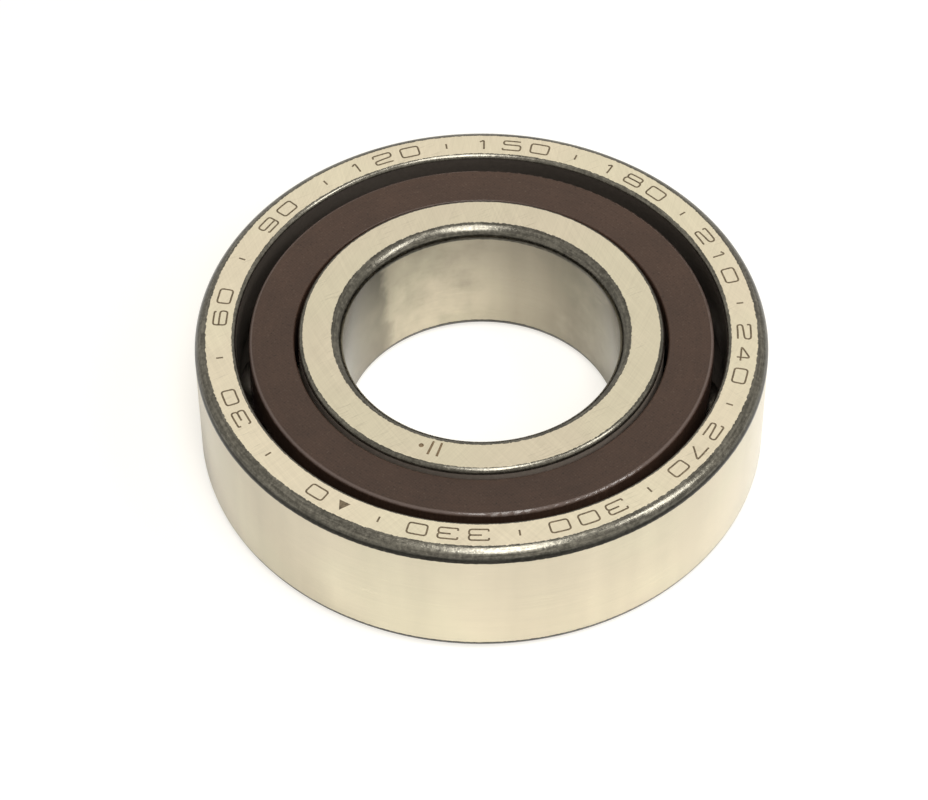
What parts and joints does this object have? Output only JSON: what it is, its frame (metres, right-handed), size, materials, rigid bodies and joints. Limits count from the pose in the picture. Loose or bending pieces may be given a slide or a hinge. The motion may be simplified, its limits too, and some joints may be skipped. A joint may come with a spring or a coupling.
{
  "type": "angular contact ball bearing",
  "caption": "Open single-row angular contact ball bearing with a solid laminate cage, for radial load and thrust in one direction.",
  "frame": {"origin": "centre of the flat plane that the bearing lies on, the back face of the outer ring, on the bearing axis", "axes": "+Z along the bearing axis, from the outer ring's back face to its counterbored front face; the first ball is 13.8 degrees from +X"},
  "size_m": [0.062, 0.062, 0.016],
  "materials": {
    "ring_steel": "ground faces and seats, tumbled corners",
    "cage_laminate": "machined cotton and phenolic laminate, dark brown",
    "ball_steel": "polished"
  },
  "bodies": {
    "outer": {"outer_ring": "ring_steel"},
    "inner": {"inner_ring": "ring_steel"},
    "cage": {"cage": "cage_laminate"},
    "ball_01": {"ball_01": "ball_steel"},
    "ball_02": {"ball_02": "ball_steel"},
    "ball_03": {"ball_03": "ball_steel"},
    "ball_04": {"ball_04": "ball_steel"},
    "ball_05": {"ball_05": "ball_steel"},
    "ball_06": {"ball_06": "ball_steel"},
    "ball_07": {"ball_07": "ball_steel"},
    "ball_08": {"ball_08": "ball_steel"},
    "ball_09": {"ball_09": "ball_steel"},
    "ball_10": {"ball_10": "ball_steel"},
    "ball_11": {"ball_11": "ball_steel"},
    "ball_12": {"ball_12": "ball_steel"},
    "ball_13": {"ball_13": "ball_steel"},
    "ball_14": {"ball_14": "ball_steel"},
    "ball_15": {"ball_15": "ball_steel"}
  },
  "joints": [
    {"name": "inner_spin", "type": "hinge", "parent": "outer", "child": "inner", "pos_m": [0, 0, 0.008], "axis": [0, 0, 1], "continuous": true},
    {"name": "cage_spin", "type": "hinge", "parent": "outer", "child": "cage", "pos_m": [0, 0, 0.008], "axis": [0, 0, 1], "continuous": true},
    {"name": "ball_01_spin", "type": "hinge", "parent": "cage", "child": "ball_01", "pos_m": [0.02214, 0.00544, 0.008], "axis": [0.4104, 0.1008, 0.9063], "continuous": true},
    {"name": "ball_02_spin", "type": "hinge", "parent": "cage", "child": "ball_02", "pos_m": [0.01802, 0.01397, 0.008], "axis": [0.3339, 0.259, 0.9063], "continuous": true},
    {"name": "ball_03_spin", "type": "hinge", "parent": "cage", "child": "ball_03", "pos_m": [0.01077, 0.02009, 0.008], "axis": [0.1997, 0.3725, 0.9063], "continuous": true},
    {"name": "ball_04_spin", "type": "hinge", "parent": "cage", "child": "ball_04", "pos_m": [0.00167, 0.02274, 0.008], "axis": [0.031, 0.4215, 0.9063], "continuous": true},
    {"name": "ball_05_spin", "type": "hinge", "parent": "cage", "child": "ball_05", "pos_m": [-0.00772, 0.02145, 0.008], "axis": [-0.1432, 0.3976, 0.9063], "continuous": true},
    {"name": "ball_06_spin", "type": "hinge", "parent": "cage", "child": "ball_06", "pos_m": [-0.01578, 0.01646, 0.008], "axis": [-0.2925, 0.305, 0.9063], "continuous": true},
    {"name": "ball_07_spin", "type": "hinge", "parent": "cage", "child": "ball_07", "pos_m": [-0.02111, 0.00861, 0.008], "axis": [-0.3913, 0.1597, 0.9063], "continuous": true},
    {"name": "ball_08_spin", "type": "hinge", "parent": "cage", "child": "ball_08", "pos_m": [-0.02279, -0.00072, 0.008], "axis": [-0.4224, -0.0133, 0.9063], "continuous": true},
    {"name": "ball_09_spin", "type": "hinge", "parent": "cage", "child": "ball_09", "pos_m": [-0.02053, -0.00992, 0.008], "axis": [-0.3805, -0.1839, 0.9063], "continuous": true},
    {"name": "ball_10_spin", "type": "hinge", "parent": "cage", "child": "ball_10", "pos_m": [-0.01472, -0.01741, 0.008], "axis": [-0.2728, -0.3228, 0.9063], "continuous": true},
    {"name": "ball_11_spin", "type": "hinge", "parent": "cage", "child": "ball_11", "pos_m": [-0.00636, -0.02189, 0.008], "axis": [-0.1179, -0.4058, 0.9063], "continuous": true},
    {"name": "ball_12_spin", "type": "hinge", "parent": "cage", "child": "ball_12", "pos_m": [0.00309, -0.02259, 0.008], "axis": [0.0574, -0.4187, 0.9063], "continuous": true},
    {"name": "ball_13_spin", "type": "hinge", "parent": "cage", "child": "ball_13", "pos_m": [0.01201, -0.01938, 0.008], "axis": [0.2227, -0.3592, 0.9063], "continuous": true},
    {"name": "ball_14_spin", "type": "hinge", "parent": "cage", "child": "ball_14", "pos_m": [0.01886, -0.01282, 0.008], "axis": [0.3495, -0.2375, 0.9063], "continuous": true},
    {"name": "ball_15_spin", "type": "hinge", "parent": "cage", "child": "ball_15", "pos_m": [0.02244, -0.00404, 0.008], "axis": [0.4159, -0.0748, 0.9063], "continuous": true}
  ],
  "couplings": [
    {"joint": "cage_spin", "follows": "inner_spin", "ratio": 0.42506},
    {"joint": "ball_01_spin", "follows": "inner_spin", "ratio": -2.9556},
    {"joint": "ball_02_spin", "follows": "inner_spin", "ratio": -2.9556},
    {"joint": "ball_03_spin", "follows": "inner_spin", "ratio": -2.9556},
    {"joint": "ball_04_spin", "follows": "inner_spin", "ratio": -2.9556},
    {"joint": "ball_05_spin", "follows": "inner_spin", "ratio": -2.9556},
    {"joint": "ball_06_spin", "follows": "inner_spin", "ratio": -2.9556},
    {"joint": "ball_07_spin", "follows": "inner_spin", "ratio": -2.9556},
    {"joint": "ball_08_spin", "follows": "inner_spin", "ratio": -2.9556},
    {"joint": "ball_09_spin", "follows": "inner_spin", "ratio": -2.9556},
    {"joint": "ball_10_spin", "follows": "inner_spin", "ratio": -2.9556},
    {"joint": "ball_11_spin", "follows": "inner_spin", "ratio": -2.9556},
    {"joint": "ball_12_spin", "follows": "inner_spin", "ratio": -2.9556},
    {"joint": "ball_13_spin", "follows": "inner_spin", "ratio": -2.9556},
    {"joint": "ball_14_spin", "follows": "inner_spin", "ratio": -2.9556},
    {"joint": "ball_15_spin", "follows": "inner_spin", "ratio": -2.9556}
  ]
}
